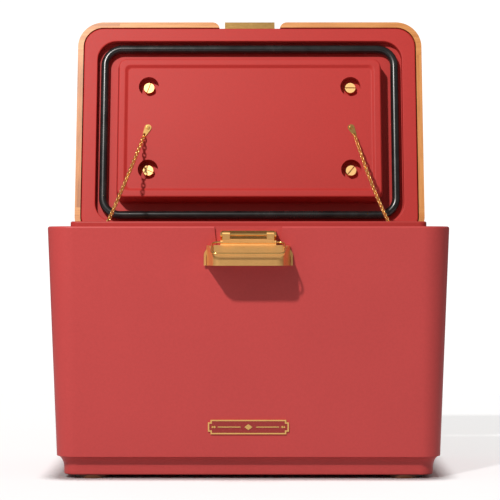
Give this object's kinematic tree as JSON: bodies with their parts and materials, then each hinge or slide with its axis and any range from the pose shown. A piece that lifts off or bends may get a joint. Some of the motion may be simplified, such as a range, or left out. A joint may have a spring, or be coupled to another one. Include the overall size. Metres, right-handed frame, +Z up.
{
  "type": "hard cooler",
  "caption": "Hard cooler with a drafted red body on round feet, a gasketed wooden lid held open by two chains, and an over-centre brass front latch.",
  "frame": {"origin": "on the floor, under the middle of the body", "axes": "+X to the right seen from the front, +Y to the back (the lid's hinges), -Y to the front (the latch), +Z up"},
  "size_m": [0.631, 0.6259, 0.77],
  "materials": {
    "red_plastic": "satin",
    "brass": "polished",
    "wood": "satin",
    "rubber": "satin",
    "foam": "matte",
    "enamel": "gloss"
  },
  "bodies": {
    "cooler_body": {"outer_shell": "red_plastic", "inner_liner": "red_plastic", "body_foam": "foam", "base_plate": "red_plastic", "foot_front_left": "wood", "foot_front_right": "wood", "foot_rear_left": "wood", "foot_rear_right": "wood", "foot_screws": "brass", "grip_left": "red_plastic", "grip_right": "red_plastic", "nameplate": "brass", "nameplate_field": "enamel", "nameplate_rivets": "brass", "latch_base": "brass", "latch_screws": "brass", "latch_pin": "brass", "drain_tube": "brass", "drain_washer": "rubber", "hinge_body_left": "brass", "hinge_body_right": "brass", "hinge_pin_left": "brass", "hinge_pin_right": "brass", "hinge_body_screws": "brass", "chain_anchor_left": "brass", "chain_anchor_right": "brass", "chain_anchor_screws": "brass"},
    "lid": {"hinge_lid_left": "brass", "hinge_lid_right": "brass", "hinge_lid_screws": "brass", "wood_top": "wood", "wood_rail_front": "wood", "wood_rail_rear": "wood", "wood_rail_left": "wood", "wood_rail_right": "wood", "wood_corner_front_left": "wood", "wood_corner_front_right": "wood", "wood_corner_rear_left": "wood", "wood_corner_rear_right": "wood", "lid_shell": "red_plastic", "lid_foam": "foam", "lid_gasket": "rubber", "lid_bolts": "brass", "lid_inserts": "brass", "keeper": "brass", "keeper_screws": "brass", "chain_tab_screws": "brass"},
    "latch_lever": {"latch_lever": "brass"},
    "latch_bail": {"latch_bail": "brass"},
    "drain_plug": {"drain_plug": "brass"},
    "chain_tab_left": {"chain_tab_left": "brass"},
    "chain_upper_left": {"chain_upper_left": "brass"},
    "chain_lower_left": {"chain_lower_left": "brass"},
    "chain_tab_right": {"chain_tab_right": "brass"},
    "chain_upper_right": {"chain_upper_right": "brass"},
    "chain_lower_right": {"chain_lower_right": "brass"}
  },
  "joints": [
    {"name": "lid_hinge", "type": "hinge", "parent": "cooler_body", "child": "lid", "pos_m": [0, 0.209, 0.374], "axis": [1, 0, 0], "range_deg": [0, 103]},
    {"name": "latch_lever_hinge", "type": "hinge", "parent": "cooler_body", "child": "latch_lever", "pos_m": [0, -0.218, 0.381], "axis": [-1, 0, 0], "range_deg": [0, 110]},
    {"name": "latch_bail_hinge", "type": "hinge", "parent": "latch_lever", "child": "latch_bail", "pos_m": [0, -0.217, 0.369], "axis": [1, 0, 0], "range_deg": [-137, 0]},
    {"name": "drain_plug_slide", "type": "slide", "parent": "cooler_body", "child": "drain_plug", "axis": [0, 1, 0], "range_m": [0, 0.03]},
    {"name": "chain_tab_left_swivel", "type": "hinge", "parent": "lid", "child": "chain_tab_left", "pos_m": [-0.181, 0.26683, 0.57515], "axis": [0, -0.9744, 0.225], "range_deg": [-10, 10]},
    {"name": "chain_upper_left_swing", "type": "hinge", "parent": "lid", "child": "chain_upper_left", "pos_m": [-0.18692, 0.26398, 0.56278], "axis": [-0.9491, 0.3063, -0.0729], "range_deg": [0, 85.97]},
    {"name": "chain_lower_left_swing", "type": "hinge", "parent": "cooler_body", "child": "chain_lower_left", "pos_m": [-0.248, 0.03, 0.375], "axis": [-0.3239, 0.6422, -0.6948], "range_deg": [0, 159.43]},
    {"name": "chain_tab_right_swivel", "type": "hinge", "parent": "lid", "child": "chain_tab_right", "pos_m": [0.181, 0.26683, 0.57515], "axis": [0, -0.9744, 0.225], "range_deg": [-10, 10]},
    {"name": "chain_upper_right_swing", "type": "hinge", "parent": "lid", "child": "chain_upper_right", "pos_m": [0.18692, 0.26398, 0.56278], "axis": [-0.9491, -0.3063, 0.0729], "range_deg": [0, 85.97]},
    {"name": "chain_lower_right_swing", "type": "hinge", "parent": "cooler_body", "child": "chain_lower_right", "pos_m": [0.248, 0.03, 0.375], "axis": [-0.3239, -0.6422, 0.6948], "range_deg": [0, 159.43]}
  ],
  "couplings": [
    {"joint": "chain_upper_left_swing", "follows": "lid_hinge", "ratio": 0.83277},
    {"joint": "chain_lower_left_swing", "follows": "lid_hinge", "ratio": 1.546},
    {"joint": "chain_upper_right_swing", "follows": "lid_hinge", "ratio": 0.83277},
    {"joint": "chain_lower_right_swing", "follows": "lid_hinge", "ratio": 1.546}
  ]
}
